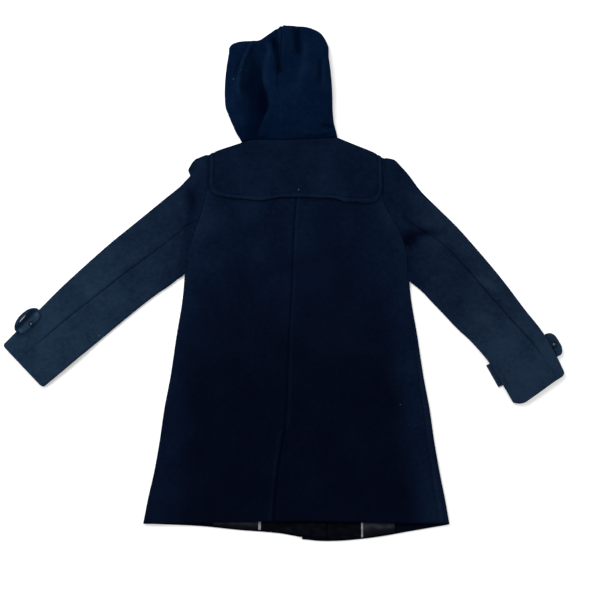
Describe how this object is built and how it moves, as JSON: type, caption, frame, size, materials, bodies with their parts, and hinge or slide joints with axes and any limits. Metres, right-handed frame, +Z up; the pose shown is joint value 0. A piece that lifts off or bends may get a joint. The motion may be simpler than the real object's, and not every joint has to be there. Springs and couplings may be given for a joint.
{
  "type": "parka",
  "caption": "Hooded wool coat lying face down with spread sleeves: back yoke, centre back vent, strapped cuffs and a half-folded hood.",
  "frame": {"origin": "on the surface the coat lies on, under the middle of its overall box", "axes": "+Z up from the surface, +Y from the hem to the hood, +X to the wearer's right (the coat lies face down)"},
  "size_m": [1.2178, 1.1688, 0.051],
  "materials": {
    "wool": "heavy napped navy wool, matt",
    "lining": "smooth dark lining",
    "piping": "grey satin piping",
    "button": "dark polished plastic"
  },
  "bodies": {
    "root": {"back_left": "wool", "back_right": "wool", "yoke_back": "wool", "front_left": "wool", "front_right": "wool", "sleeve_left_top": "wool", "sleeve_left_under": "wool", "sleeve_right_top": "wool", "sleeve_right_under": "wool", "hood_left": "wool", "hood_right": "wool", "hood_inner": "wool", "vent_underlap": "wool", "facing_left": "wool", "facing_right": "wool", "strap_left": "wool", "strap_right": "wool", "loop_left": "wool", "loop_right": "wool", "lining_left": "lining", "lining_right": "lining", "piping_left": "piping", "piping_right": "piping", "button_left": "button", "button_right": "button"}
  },
  "joints": []
}
